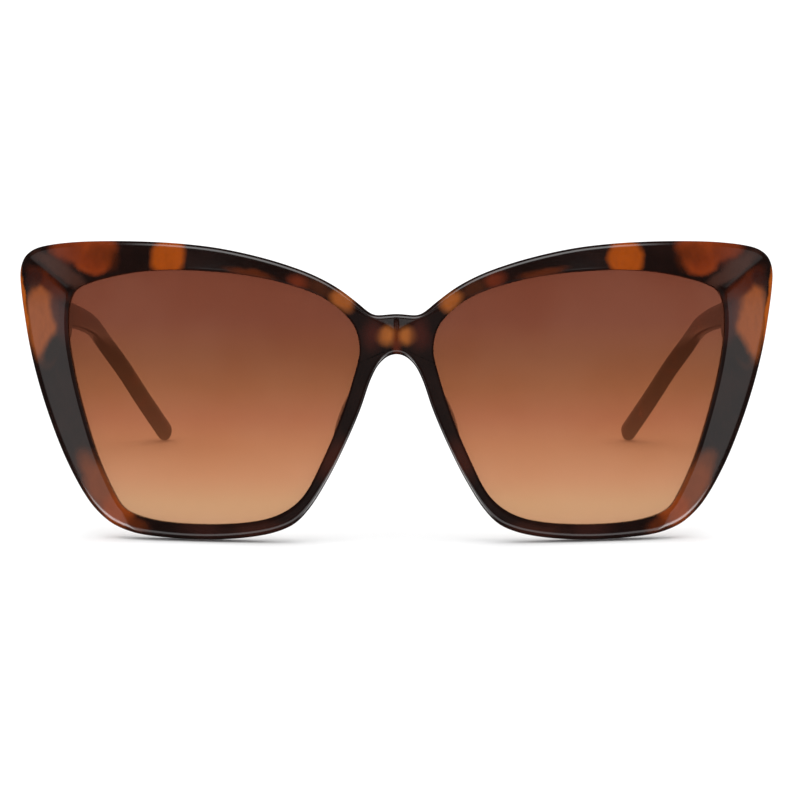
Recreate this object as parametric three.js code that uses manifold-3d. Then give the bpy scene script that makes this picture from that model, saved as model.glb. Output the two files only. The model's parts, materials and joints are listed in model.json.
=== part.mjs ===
// Cat eye sunglasses: a moulded front with two gradient lenses, and two temples on barrel hinges.
// Millimetres, +Z up. Sides are the wearer's: the wearer looks along -Y, so left is +X.
// The glasses stand open on the two lower rims and the two temple tips, centred over the origin.

import * as THREE from 'three';
import { mergeGeometries, mergeVertices } from 'three/addons/utils/BufferGeometryUtils.js';
import Module from 'manifold-3d';

const wasm = await Module();
wasm.setup();

// ---- Driving dimensions -------------------------------------------------------------------

const LEFT = 1;
const RIGHT = -1;

// Right half of the front's outline seen from in front, [x, z], from the top of the bridge
// round the brow, the temple side and the lower rim to the top of the nose arch.
const FRONT_OUTLINE = [
  [0, 14.9], [2.7, 14.7], [4.3, 14.7], [5.6, 15.4], [7.8, 17.2], [11.7, 20.1], [16.4, 22.6],
  [22.0, 24.7], [28.3, 26.5], [35.4, 28.0], [42.6, 28.9], [50.0, 29.4], [57.4, 29.6], [64.0, 29.5],
  [69.3, 29.0], [72.2, 28.3], [74.0, 27.1], [74.9, 25.6], [75.3, 23.6], [75.1, 20.4], [74.4, 15.6],
  [73.2, 9.0], [71.3, 1.6], [68.6, -6.5], [65.4, -14.2], [61.9, -20.6], [59.5, -23.7],
  [56.2, -26.4], [51.8, -28.1], [45.8, -29.0], [39.4, -29.4], [33.4, -29.3], [27.5, -28.7],
  [23.2, -27.7], [20.0, -26.2], [17.2, -23.4], [13.3, -17.2], [9.4, -9.3], [7.0, -3.6],
  [5.1, 1.9], [3.6, 4.8], [1.8, 6.5], [0, 7.0],
];
// Outline of the lens opening on the same side, [x, z], from the temple side downwards.
const LENS_OUTLINE = [
  [65.0, 12.7], [63.8, 4.0], [60.5, -8.5], [58.2, -15.0], [55.4, -20.9], [54.0, -23.0],
  [52.0, -24.3], [47.0, -25.7], [37.6, -26.4], [28.5, -25.9], [23.9, -24.8], [20.3, -22.8],
  [17.6, -19.9], [14.7, -14.3], [11.1, -5.9], [8.5, 2.0], [7.2, 7.8], [8.1, 12.1], [10.5, 15.2],
  [14.8, 18.3], [21.5, 20.8], [29.7, 22.6], [37.3, 23.4], [44.4, 23.7], [51.6, 23.3],
  [57.5, 22.2], [61.3, 21.1], [63.4, 20.0], [64.5, 18.2],
];
const LENS_CENTRE = [38, -1];
const OUTLINE_STEPS = 2;            // samples between two outline points
const BRIDGE_STEPS = 4;             // samples down the middle of the bridge

// Curvature of the front: it falls back from the bridge and from mid-height.
const WRAP_RADIUS = 200;
const WRAP_START = 7;               // half width of the straight middle

// Section of the front round a lens.
const RIM_DEPTH = 4.2;
const SIDE_FACET_SLOPE = 0.33;      // fall of the temple side facet for each mm outwards
const BROW_FACET_SLOPE = 0.24;
const BACK_FOLLOW = 0.7;            // share of that fall which the back follows
const OUTER_BEVEL = [0.9, 0.6];     // width, depth
const BACK_BEVEL = 0.5;
const OPENING_CHAMFER = 0.25;
const GROOVE_MIDDLE = 1.9;          // behind the front face
const GROOVE_HALF_HEIGHT = 1.05;
const GROOVE_DEPTH = 0.8;

// Lens.
const LENS_HALF_THICKNESS = 1.0;
const LENS_EDGE_GAP = 0.1;
const LENS_TONGUE = 0.65;           // reach of the bevelled edge into the groove
const LENS_RINGS = [1, 0.66, 0.33];

// End piece: the block behind the front's corner that carries the hinge.
const END_PIECE_BACK = 18.2;
const END_PIECE_OUTLINE = [
  [65.45, 10.3], [65.45, 16.5], [66.2, 22.0], [69.5, 22.6], [73.4, 22.2], [74.3, 20.4],
  [73.7, 15.6], [72.6, 10.3], [69.5, 9.6],
];
const END_PIECE_ROOT = 1.0;         // how deep it is rooted in the front
const END_PIECE_BEVEL = 0.6;

// Hinge: five knuckles round a screw, three on the front leaf and two on the temple leaf.
const HINGE = new THREE.Vector3(67.0, END_PIECE_BACK + 1.3, 15.8);
const KNUCKLE_RADIUS = 1.35;
const KNUCKLE_PITCH = 1.5;
const KNUCKLE_GAP = 0.1;
const KNUCKLES = 5;
const BORE_RADIUS = 0.72;
const PIN_RADIUS = 0.62;
const PIN_HEAD = [1.15, 0.65];      // radius, height
const LEAF_CLEARANCE = 0.1;
// Leaf plates and the arms that join them to the knuckles, in hinge axes: [low, high].
const FRONT_PLATE = { x: [-0.6, 6.0], y: [-2.55, -1.5], z: [-3.7, 3.7] };
const FRONT_ARM = { x: [-0.5, 1.0], y: [-1.7, 0] };
const TEMPLE_PLATE = { x: [1.7, 2.75], y: [0, 9.3], z: [-2.2, 2.2] };
const TEMPLE_ARM = { x: [0, 2.0], y: [-0.2, 1.3] };
// Fixing screws: head radius, head depth, shank radius, length below the head's face.
const SCREW = { head: 1.0, cone: 0.5, shank: 0.45, length: 2.7, slot: 0.26 };
const SCREW_CLEARANCE = 0.08;
const FRONT_SCREWS = [[4.2, -2.1], [4.2, 2.1]];      // x, z in hinge axes
const TEMPLE_SCREWS = [2.9, 7.0];                    // y in hinge axes

// Temple centre line: x, y, z, then the section's thickness and height there.
const TEMPLE_LINE = [
  [70.4, 18.3, 15.8, 3.6, 8.0], [70.35, 24, 15.85, 3.6, 7.9], [70.2, 32, 15.95, 3.5, 7.2],
  [69.9, 44, 16.05, 3.4, 6.1], [69.4, 60, 16.0, 3.2, 5.2], [68.7, 78, 15.5, 3.1, 4.8],
  [68.1, 92, 14.7, 3.1, 4.5], [67.8, 99, 13.9, 3.1, 4.4], [67.4, 105, 12.7, 3.1, 4.4],
  [66.3, 112, 10.4, 3.1, 4.4], [63.4, 121, 5.5, 3.1, 4.4], [59.4, 134, -2.2, 3.2, 4.5],
  [55.4, 146.4, -9.5, 3.2, 4.5],
];
const TEMPLE_STATIONS = 26;
const TEMPLE_SIDES = 16;
const TEMPLE_SQUARENESS = [3.4, 2.4];   // exponent of the section's superellipse, front and tip
const TEMPLE_END_ROUNDING = [[0.8, 0.93], [1.5, 0.7], [2.0, 0.25]];   // past the end, share of size

// Core wire inside each temple.
const CORE_RADIUS = 0.55;
const CORE_CLEARANCE = 0.12;
const CORE_START = 29.4;            // y
const CORE_MOUTH = 28.2;            // y where its channel opens into the leaf's pocket
const CORE_END = 137;
const CORE_STEPS = 18;
const CORE_SIDES = 8;

// Nose pads on the back of the nose arms.
const PAD_CENTRE = [9.2, -5.0];
const PAD_LEAN = 0.36;              // radians, top towards the middle
const PAD_HALF = [1.45, 6.6];       // across, along
const PAD_PROFILE = [[0, 1], [2.2, 1], [4.2, 0.9], [5.4, 0.66], [6.0, 0.3]];   // depth, share
const PAD_SPLAY = 0.22;             // sideways for each mm of depth
const PAD_SIDES = 16;
const PAD_GAP = 0.08;

// Standing pose.
const LEAN = THREE.MathUtils.degToRad(7.27);
const FLOOR = -30.05;               // height of the resting plane in the leaned axes

// ---- Materials ----------------------------------------------------------------------------

function material(color, roughness, metalness) {
  return new THREE.MeshStandardMaterial({ color, roughness, metalness });
}

const tortoise = material(0x3a2214, 0.22, 0);
const tintedLens = material(0x8f5338, 0.06, 0);
tintedLens.transparent = true;
tintedLens.opacity = 0.8;
const hingeMetal = material(0xb9a37a, 0.3, 0.9);
const steel = material(0xb6b8bb, 0.35, 0.9);

// ---- Solids -------------------------------------------------------------------------------

function toSolid(geometry) {
  const bare = geometry.clone();
  bare.deleteAttribute('normal');
  bare.deleteAttribute('uv');
  const welded = mergeVertices(bare, 1e-4);
  return new wasm.Manifold(new wasm.Mesh({
    numProp: 3,
    vertProperties: new Float32Array(welded.attributes.position.array),
    triVerts: new Uint32Array(welded.index.array),
  }));
}

function toGeometry(solid) {
  const mesh = solid.getMesh();
  const geometry = new THREE.BufferGeometry();
  geometry.setAttribute('position', new THREE.BufferAttribute(mesh.vertProperties, 3));
  geometry.setIndex(new THREE.BufferAttribute(mesh.triVerts, 1));
  return geometry;
}

function join(geometries) {
  return toGeometry(geometries.map(toSolid).reduce((sum, solid) => sum.add(solid)));
}

function cut(geometry, tools) {
  return toGeometry(tools.map(toSolid).reduce((rest, tool) => rest.subtract(tool), toSolid(geometry)));
}

// The same solid on the other side of the X = 0 plane.
function mirror(geometry) {
  const copy = geometry.clone();
  copy.scale(-1, 1, 1);
  const index = copy.index.array;
  for (let i = 0; i < index.length; i += 3) {
    [index[i], index[i + 1]] = [index[i + 1], index[i]];
  }
  return copy;
}

function sided(geometry, side) {
  return side === LEFT ? geometry : mirror(geometry);
}

function box(x, y, z) {
  const geometry = new THREE.BoxGeometry(x[1] - x[0], y[1] - y[0], z[1] - z[0]);
  return geometry.translate((x[0] + x[1]) / 2, (y[0] + y[1]) / 2, (z[0] + z[1]) / 2);
}

function grown(range, by) {
  return [range[0] - by, range[1] + by];
}

// A cylinder standing along Z between two heights.
function post(radius, low, high, sides = 16) {
  const geometry = new THREE.CylinderGeometry(radius, radius, high - low, sides);
  return geometry.rotateX(Math.PI / 2).translate(0, 0, (low + high) / 2);
}

// Closed solid through rings of equally many points, capped by a fan at each end.
function loft(rings) {
  const count = rings[0].length;
  const points = rings.flat();
  const index = [];
  for (let r = 0; r + 1 < rings.length; r += 1) {
    for (let j = 0; j < count; j += 1) {
      const a = r * count + j;
      const b = r * count + (j + 1) % count;
      index.push(a, b, b + count, a, b + count, a + count);
    }
  }
  const last = (rings.length - 1) * count;
  const ends = [points.length, points.length + 1];
  points.push(centroid(rings[0]), centroid(rings.at(-1)));
  for (let j = 0; j < count; j += 1) {
    const next = (j + 1) % count;
    index.push(ends[0], next, j, ends[1], last + j, last + next);
  }
  return facingOut(indexed(points, index));
}

function indexed(points, index) {
  const geometry = new THREE.BufferGeometry().setFromPoints(points);
  geometry.setIndex(index);
  return geometry;
}

function centroid(points) {
  return points.reduce((sum, p) => sum.add(p), new THREE.Vector3()).divideScalar(points.length);
}

// Turns every triangle round if the closed mesh is inside out.
function facingOut(geometry) {
  const position = geometry.attributes.position;
  const index = geometry.index.array;
  const [a, b, c] = [new THREE.Vector3(), new THREE.Vector3(), new THREE.Vector3()];
  let volume = 0;
  for (let i = 0; i < index.length; i += 3) {
    a.fromBufferAttribute(position, index[i]);
    b.fromBufferAttribute(position, index[i + 1]);
    c.fromBufferAttribute(position, index[i + 2]);
    volume += a.dot(b.cross(c));
  }
  if (volume < 0) {
    for (let i = 0; i < index.length; i += 3) {
      [index[i], index[i + 1]] = [index[i + 1], index[i]];
    }
  }
  return geometry;
}

// ---- Surfaces of the front ----------------------------------------------------------------

function wrap(x, z) {
  const out = Math.max(Math.abs(x) - WRAP_START, 0);
  return (out * out + z * z) / (2 * WRAP_RADIUS);
}

// Parabola through three points [u, v].
function parabola([a, b, c]) {
  const ab = (b[1] - a[1]) / (b[0] - a[0]);
  const bc = (c[1] - b[1]) / (c[0] - b[0]);
  const curve = (bc - ab) / (c[0] - a[0]);
  return (u) => a[1] + ab * (u - a[0]) + curve * (u - a[0]) * (u - b[0]);
}

// The lens opening's temple side as x of z, and its brow side as z of x.
const lensSide = parabola([[-20.9, 55.4], [-2.0, 62.4], [12.7, 65.0]]);
const lensBrow = parabola([[21.5, 20.8], [44.4, 23.7], [61.3, 21.1]]);

// Two facets fall away from the lens opening and meet in a ridge at the upper outer corner.
function facet(x, z) {
  const out = Math.abs(x);
  return Math.max(SIDE_FACET_SLOPE * (out - lensSide(z)), BROW_FACET_SLOPE * (z - lensBrow(out)), 0);
}

function frontFace(x, z) {
  return wrap(x, z) + facet(x, z);
}

function backFace(x, z) {
  return wrap(x, z) + RIM_DEPTH + BACK_FOLLOW * facet(x, z);
}

// ---- Outlines -----------------------------------------------------------------------------

function smoothLoop(points, steps) {
  const corners = points.map(([x, z]) => new THREE.Vector3(x, 0, z));
  const curve = new THREE.CatmullRomCurve3(corners, true, 'centripetal');
  return curve.getPoints(points.length * steps).slice(0, -1);
}

// Moves a loop that runs clockwise, seen from in front, inwards; a negative distance grows it.
function insetLoop(points, distance) {
  return points.map((p, j) => {
    const before = points.at(j - 1);
    const after = points[(j + 1) % points.length];
    const inward = new THREE.Vector3(after.z - before.z, 0, before.x - after.x).normalize();
    return p.clone().addScaledVector(inward, distance);
  });
}

// Point of a loop in the direction of a target, seen from the lens centre.
function pointTowards(loop, target) {
  const centre = new THREE.Vector3(LENS_CENTRE[0], 0, LENS_CENTRE[1]);
  const ray = target.clone().sub(centre);
  const side = (p) => ray.x * (p.z - centre.z) - ray.z * (p.x - centre.x);
  for (let j = 0; j < loop.length; j += 1) {
    const a = loop[j];
    const b = loop[(j + 1) % loop.length];
    const [sa, sb] = [side(a), side(b)];
    const ahead = a.clone().sub(centre).dot(ray) > 0;
    if (ahead && sa * sb <= 0 && sa !== sb) {
      return a.clone().lerp(b, sa / (sa - sb));
    }
  }
  throw new Error('no point of the loop lies in that direction');
}

// Spokes of the left half of the front: pairs of points on the opening and on the outline.
function makeSpokes() {
  const leftToRight = FRONT_OUTLINE.slice(1, -1).reverse().map(([x, z]) => [-x, z]);
  const whole = smoothLoop([...FRONT_OUTLINE, ...leftToRight], OUTLINE_STEPS);
  const half = (FRONT_OUTLINE.length - 1) * OUTLINE_STEPS + 1;
  const inset = insetLoop(whole, OUTER_BEVEL[0]).slice(0, half);
  const backInset = insetLoop(whole, BACK_BEVEL).slice(0, half);
  const outer = whole.slice(0, half);
  const [arch, top] = [inset.at(-1).z, inset[0].z];
  for (let k = 1; k < BRIDGE_STEPS; k += 1) {
    const middle = new THREE.Vector3(0, 0, arch + (top - arch) * k / BRIDGE_STEPS);
    [outer, inset, backInset].forEach((list) => list.push(middle));
  }
  const fine = smoothLoop(LENS_OUTLINE, 8);
  const opening = outer.map((p) => pointTowards(fine, p));
  return { outer, inset, backInset, opening, half };
}

const spokes = makeSpokes();

function raised(points, height) {
  return points.map((p) => new THREE.Vector3(p.x, height(p.x, p.z), p.z));
}

// ---- Front --------------------------------------------------------------------------------

function frontHalf() {
  const { outer, inset, backInset, opening, half } = spokes;
  const mid = (x, z) => wrap(x, z) + GROOVE_MIDDLE;
  const rows = [
    raised(insetLoop(opening, -OPENING_CHAMFER), frontFace),
    raised(inset, frontFace),
    raised(outer, (x, z) => frontFace(x, z) + OUTER_BEVEL[1]),
    raised(outer, (x, z) => backFace(x, z) - BACK_BEVEL),
    raised(backInset, backFace),
    raised(insetLoop(opening, -OPENING_CHAMFER), backFace),
    raised(opening, (x, z) => backFace(x, z) - OPENING_CHAMFER),
    raised(opening, (x, z) => mid(x, z) + GROOVE_HALF_HEIGHT),
    raised(insetLoop(opening, -GROOVE_DEPTH), mid),
    raised(opening, (x, z) => mid(x, z) - GROOVE_HALF_HEIGHT),
    raised(opening, (x, z) => wrap(x, z) + OPENING_CHAMFER),
  ];
  const columns = outer.length;
  const edgeRows = [1, 2, 3];
  const index = [];
  for (let r = 0; r < rows.length; r += 1) {
    for (let j = 0; j < columns; j += 1) {
      const onMiddle = j >= half - 1;
      if (onMiddle && edgeRows.includes(r)) continue;
      const next = (j + 1) % columns;
      const under = ((r + 1) % rows.length) * columns;
      const a = r * columns + j;
      const b = r * columns + next;
      index.push(a, b, under + next, a, under + next, under + j);
    }
  }
  return indexed(rows.flat(), index);
}

function endPiece() {
  const outline = END_PIECE_OUTLINE.map(([x, z]) => new THREE.Vector3(x, 0, z));
  const tip = insetLoop(outline, END_PIECE_BEVEL);
  return loft([
    raised(outline, (x, z) => backFace(x, z) - END_PIECE_ROOT),
    raised(outline, () => END_PIECE_BACK - END_PIECE_BEVEL),
    raised(tip, () => END_PIECE_BACK),
  ]);
}

function floorBlock() {
  const block = box([-100, 100], [-40, 200], [FLOOR - 10, FLOOR]);
  return block.rotateX(LEAN);
}

function makeFront() {
  const half = frontHalf();
  const shell = facingOut(mergeVertices(mergeGeometries([half, mirror(half)]), 1e-4));
  const block = endPiece();
  const tools = [LEFT, RIGHT].flatMap((side) => frontPocket().map((tool) => sided(tool, side)));
  return cut(join([shell, block, mirror(block)]), [...tools, floorBlock()]);
}

// Pocket for the front leaf and holes for its screws.
function frontPocket() {
  const { x, y, z } = FRONT_PLATE;
  const pocket = box(grown(x, LEAF_CLEARANCE), [y[0] - LEAF_CLEARANCE, 2], grown(z, LEAF_CLEARANCE));
  const holes = FRONT_SCREWS.map((at) => placeFrontScrew(screwShape(SCREW_CLEARANCE, false), at));
  return [pocket, ...holes].map((tool) => tool.translate(HINGE.x, HINGE.y, HINGE.z));
}

// ---- Lenses -------------------------------------------------------------------------------

function makeLens() {
  const face = insetLoop(spokes.opening, LENS_EDGE_GAP);
  const edge = insetLoop(spokes.opening, -LENS_TONGUE);
  const centre = new THREE.Vector3(LENS_CENTRE[0], 0, LENS_CENTRE[1]);
  const shrunk = (share) => face.map((p) => centre.clone().lerp(p, share));
  const level = (height) => (x, z) => wrap(x, z) + GROOVE_MIDDLE + height;
  const rings = [...LENS_RINGS].reverse().map(shrunk);
  return loft([
    ...rings.map((ring) => raised(ring, level(-LENS_HALF_THICKNESS))),
    raised(edge, level(0)),
    ...rings.reverse().map((ring) => raised(ring, level(LENS_HALF_THICKNESS))),
  ]);
}

// ---- Nose pads ----------------------------------------------------------------------------

function makeNosePad() {
  const rings = PAD_PROFILE.map(([depth, share]) => {
    const ring = [];
    for (let j = 0; j < PAD_SIDES; j += 1) {
      const angle = 2 * Math.PI * j / PAD_SIDES;
      const across = PAD_HALF[0] * share * Math.cos(angle);
      const along = PAD_HALF[1] * share * Math.sin(angle);
      const x = PAD_CENTRE[0] + across * Math.cos(PAD_LEAN) - along * Math.sin(PAD_LEAN);
      const z = PAD_CENTRE[1] + across * Math.sin(PAD_LEAN) + along * Math.cos(PAD_LEAN);
      const y = backFace(x, z) + PAD_GAP + depth;
      ring.push(new THREE.Vector3(x + PAD_SPLAY * depth, y, z));
    }
    return ring;
  });
  return loft(rings);
}

// ---- Hinges -------------------------------------------------------------------------------

function knuckleSpan(level) {
  const low = (level - KNUCKLES / 2) * KNUCKLE_PITCH;
  return [low + KNUCKLE_GAP / 2, low + KNUCKLE_PITCH - KNUCKLE_GAP / 2];
}

function makeLeaf(plate, arm, levels, screwHoles) {
  const pieces = [box(plate.x, plate.y, plate.z)];
  levels.forEach((level) => {
    const span = knuckleSpan(level);
    pieces.push(post(KNUCKLE_RADIUS, span[0], span[1]), box(arm.x, arm.y, span));
  });
  const bore = post(BORE_RADIUS, -10, 10);
  return cut(join(pieces), [bore, ...screwHoles]);
}

function makeFrontLeaf() {
  const holes = FRONT_SCREWS.map((at) => placeFrontScrew(screwShape(SCREW_CLEARANCE, false), at));
  return makeLeaf(FRONT_PLATE, FRONT_ARM, [0, 2, 4], holes);
}

function makeTempleLeaf() {
  const holes = TEMPLE_SCREWS.map((at) => placeTempleScrew(screwShape(SCREW_CLEARANCE, false), at));
  return makeLeaf(TEMPLE_PLATE, TEMPLE_ARM, [1, 3], holes);
}

function makeHingeScrew() {
  const top = KNUCKLES / 2 * KNUCKLE_PITCH;
  const shank = post(PIN_RADIUS, -top + KNUCKLE_GAP, top + 0.2);
  const head = post(PIN_HEAD[0], top, top + PIN_HEAD[1], 20);
  const slot = box([-2, 2], [-0.16, 0.16], [top + PIN_HEAD[1] - 0.3, top + 2]);
  return cut(join([shank, head]), [slot]);
}

// Countersunk screw along -Z with its head's face at Z = 0, or the hole for it.
function screwShape(clearance, slotted) {
  const { head, cone, shank, length, slot } = SCREW;
  const top = slotted ? -0.05 : 0.5;
  const profile = [
    [0, -length - clearance], [shank + clearance, -length + 0.3 - clearance],
    [shank + clearance, -cone - 0.1], [head + clearance, -0.1], [head + clearance, top], [0, top],
  ];
  const points = profile.map(([r, z]) => new THREE.Vector2(r, z));
  const body = new THREE.LatheGeometry(points, 12).rotateX(Math.PI / 2);
  if (!slotted) return body;
  return cut(body, [box([-2, 2], [-slot / 2, slot / 2], [-0.3, 1])]);
}

// Front leaf screws point forwards from the plate's rear face.
function placeFrontScrew(screw, [x, z]) {
  return screw.rotateX(-Math.PI / 2).translate(x, FRONT_PLATE.y[1], z);
}

// Temple leaf screws point outwards from the plate's inner face.
function placeTempleScrew(screw, y) {
  return screw.rotateY(-Math.PI / 2).translate(TEMPLE_PLATE.x[0], y, 0);
}

// ---- Temples ------------------------------------------------------------------------------

function templeCurve() {
  return new THREE.CatmullRomCurve3(TEMPLE_LINE.map(([x, y, z]) => new THREE.Vector3(x, y, z)));
}

// Thickness and height of the section at a share of the way along the curve's points.
function templeSize(t) {
  const place = t * (TEMPLE_LINE.length - 1);
  const k = Math.min(Math.floor(place), TEMPLE_LINE.length - 2);
  const [a, b] = [TEMPLE_LINE[k], TEMPLE_LINE[k + 1]];
  const mix = (i) => THREE.MathUtils.lerp(a[i], b[i], place - k);
  return [mix(3), mix(4)];
}

function templeRing(centre, along, size, squareness) {
  const across = new THREE.Vector3(along.y, -along.x, 0).normalize();
  const up = new THREE.Vector3().crossVectors(across, along).normalize();
  const ring = [];
  for (let j = 0; j < TEMPLE_SIDES; j += 1) {
    const angle = 2 * Math.PI * (j + 0.5) / TEMPLE_SIDES;
    const [c, s] = [Math.cos(angle), Math.sin(angle)];
    const reach = (Math.abs(c) ** squareness + Math.abs(s) ** squareness) ** (-1 / squareness);
    ring.push(centre.clone()
      .addScaledVector(across, reach * c * size[0] / 2)
      .addScaledVector(up, reach * s * size[1] / 2));
  }
  return ring;
}

function templeBar() {
  const curve = templeCurve();
  const rings = [];
  for (let k = 0; k <= TEMPLE_STATIONS; k += 1) {
    const t = k / TEMPLE_STATIONS;
    const along = k === 0 ? new THREE.Vector3(0, 1, 0) : curve.getTangent(t);
    const squareness = THREE.MathUtils.lerp(...TEMPLE_SQUARENESS, Math.min(2 * t, 1));
    rings.push(templeRing(curve.getPoint(t), along, templeSize(t), squareness));
  }
  const [end, along, size] = [curve.getPoint(1), curve.getTangent(1), templeSize(1)];
  TEMPLE_END_ROUNDING.forEach(([past, share]) => {
    const centre = end.clone().addScaledVector(along, past);
    rings.push(templeRing(centre, along, size.map((v) => v * share), TEMPLE_SQUARENESS[1]));
  });
  return loft(rings);
}

// Point on the temple's centre line at a given distance back.
function templePointAt(y) {
  const curve = templeCurve();
  let [low, high] = [0, 1];
  for (let i = 0; i < 30; i += 1) {
    const t = (low + high) / 2;
    if (curve.getPoint(t).y < y) low = t;
    else high = t;
  }
  return curve.getPoint(low);
}

function coreWire(start, end, radius) {
  const points = [];
  for (let k = 0; k <= CORE_STEPS; k += 1) {
    points.push(templePointAt(start + (end - start) * k / CORE_STEPS));
  }
  const path = new THREE.CatmullRomCurve3(points);
  const section = new THREE.Shape();
  for (let j = 0; j < CORE_SIDES; j += 1) {
    const angle = 2 * Math.PI * j / CORE_SIDES;
    const [u, v] = [radius * Math.cos(angle), radius * Math.sin(angle)];
    if (j === 0) section.moveTo(u, v);
    else section.lineTo(u, v);
  }
  return new THREE.ExtrudeGeometry(section, { steps: CORE_STEPS, extrudePath: path, bevelEnabled: false });
}

function makeTemple() {
  const { x, y, z } = TEMPLE_PLATE;
  const pocket = box([-1, x[1] + LEAF_CLEARANCE], [TEMPLE_ARM.y[0] - 0.15, y[1] + 0.15],
    grown(z, LEAF_CLEARANCE));
  const holes = TEMPLE_SCREWS.map((at) => placeTempleScrew(screwShape(SCREW_CLEARANCE, false), at));
  const tools = [pocket, ...holes].map((tool) => tool.translate(HINGE.x, HINGE.y, HINGE.z));
  const channel = coreWire(CORE_MOUTH, CORE_END + CORE_CLEARANCE, CORE_RADIUS + CORE_CLEARANCE);
  return cut(templeBar(), [...tools, channel, floorBlock()]);
}

// ---- Assembly -----------------------------------------------------------------------------

function sideName(side) {
  return side === LEFT ? 'left' : 'right';
}

function node(name, geometry, surface) {
  const mesh = new THREE.Mesh(geometry, surface);
  mesh.name = name;
  return mesh;
}

// Everything about one hinge, in axes whose origin is the middle of its screw.
function hingeGroup(side) {
  const group = new THREE.Group();
  const name = sideName(side);
  group.position.set(side * HINGE.x, HINGE.y, HINGE.z);
  group.add(node(`${name}_front_hinge_leaf`, sided(makeFrontLeaf(), side), hingeMetal));
  group.add(node(`${name}_temple_hinge_leaf`, sided(makeTempleLeaf(), side), hingeMetal));
  group.add(node(`${name}_hinge_screw`, sided(makeHingeScrew(), side), steel));
  FRONT_SCREWS.forEach((at, k) => {
    const screw = placeFrontScrew(screwShape(0, true), at);
    group.add(node(`${name}_front_leaf_screw_${k + 1}`, sided(screw, side), steel));
  });
  TEMPLE_SCREWS.forEach((at, k) => {
    const screw = placeTempleScrew(screwShape(0, true), at);
    group.add(node(`${name}_temple_leaf_screw_${k + 1}`, sided(screw, side), steel));
  });
  return group;
}

function sideGroup(side) {
  const group = new THREE.Group();
  const name = sideName(side);
  const core = toGeometry(toSolid(coreWire(CORE_START, CORE_END, CORE_RADIUS)));
  group.add(node(`${name}_lens`, sided(makeLens(), side), tintedLens));
  group.add(node(`${name}_nose_pad`, sided(makeNosePad(), side), tortoise));
  group.add(node(`${name}_temple`, sided(makeTemple(), side), tortoise));
  group.add(node(`${name}_temple_core`, sided(core, side), steel));
  group.add(hingeGroup(side));
  return group;
}

function makeGlasses() {
  const leaned = new THREE.Group();
  leaned.rotation.x = -LEAN;
  leaned.add(node('front', makeFront(), tortoise), sideGroup(LEFT), sideGroup(RIGHT));
  const standing = new THREE.Group();
  standing.add(leaned);
  const bounds = new THREE.Box3().setFromObject(standing, true);
  leaned.position.set(0, -(bounds.min.y + bounds.max.y) / 2, -bounds.min.z);
  return standing;
}

export default makeGlasses();
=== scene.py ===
import json
import math

import bmesh
import bpy
import numpy as np
from mathutils import Matrix, Vector


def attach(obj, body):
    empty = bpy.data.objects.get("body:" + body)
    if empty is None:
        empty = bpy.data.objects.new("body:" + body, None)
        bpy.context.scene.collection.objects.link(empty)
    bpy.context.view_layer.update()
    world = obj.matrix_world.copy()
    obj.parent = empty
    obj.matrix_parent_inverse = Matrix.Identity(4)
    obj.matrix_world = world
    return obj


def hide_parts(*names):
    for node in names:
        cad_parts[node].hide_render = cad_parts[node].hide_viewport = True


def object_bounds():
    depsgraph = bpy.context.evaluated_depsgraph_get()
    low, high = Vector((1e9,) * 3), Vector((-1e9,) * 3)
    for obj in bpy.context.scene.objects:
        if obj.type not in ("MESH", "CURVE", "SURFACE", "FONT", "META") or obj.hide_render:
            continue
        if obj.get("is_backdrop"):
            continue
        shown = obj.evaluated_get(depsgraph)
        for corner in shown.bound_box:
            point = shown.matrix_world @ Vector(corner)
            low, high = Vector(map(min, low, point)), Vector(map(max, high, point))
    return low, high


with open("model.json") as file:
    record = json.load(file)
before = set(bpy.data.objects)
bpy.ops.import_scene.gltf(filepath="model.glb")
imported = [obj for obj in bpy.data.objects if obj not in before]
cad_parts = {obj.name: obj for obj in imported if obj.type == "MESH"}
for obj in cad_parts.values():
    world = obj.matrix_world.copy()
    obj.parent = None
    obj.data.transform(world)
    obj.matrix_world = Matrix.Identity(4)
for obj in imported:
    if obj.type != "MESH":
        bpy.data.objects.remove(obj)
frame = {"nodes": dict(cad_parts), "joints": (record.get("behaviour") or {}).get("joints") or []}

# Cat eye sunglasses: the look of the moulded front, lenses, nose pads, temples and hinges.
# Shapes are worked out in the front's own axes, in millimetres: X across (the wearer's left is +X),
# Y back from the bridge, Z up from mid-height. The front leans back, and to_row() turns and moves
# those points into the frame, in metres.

cad_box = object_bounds()

# ---- Driving dimensions ----------------------------------------------------------------------

LEFT, RIGHT = 1, -1
MM = 0.001

# Right half of the front's outline seen from in front, [x, z], from the top of the bridge round
# the brow, the temple side and the lower rim to the top of the nose arch.
FRONT_OUTLINE = [
    [0, 14.9], [2.7, 14.7], [4.3, 14.7], [5.6, 15.4], [7.8, 17.2], [11.7, 20.1], [16.4, 22.6],
    [22.0, 24.7], [28.3, 26.5], [35.4, 28.0], [42.6, 28.9], [50.0, 29.4], [57.4, 29.6],
    [64.0, 29.5], [69.3, 29.0], [72.2, 28.3], [74.0, 27.1], [74.9, 25.6], [75.3, 23.6],
    [75.1, 20.4], [74.4, 15.6], [73.2, 9.0], [71.3, 1.6], [68.6, -6.5], [65.4, -14.2],
    [61.9, -20.6], [59.5, -23.7], [56.2, -26.4], [51.8, -28.1], [45.8, -29.0], [39.4, -29.4],
    [33.4, -29.3], [27.5, -28.7], [23.2, -27.7], [20.0, -26.2], [17.2, -23.4], [13.3, -17.2],
    [9.4, -9.3], [7.0, -3.6], [5.1, 1.9], [3.6, 4.8], [1.8, 6.5], [0, 7.0],
]
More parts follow.
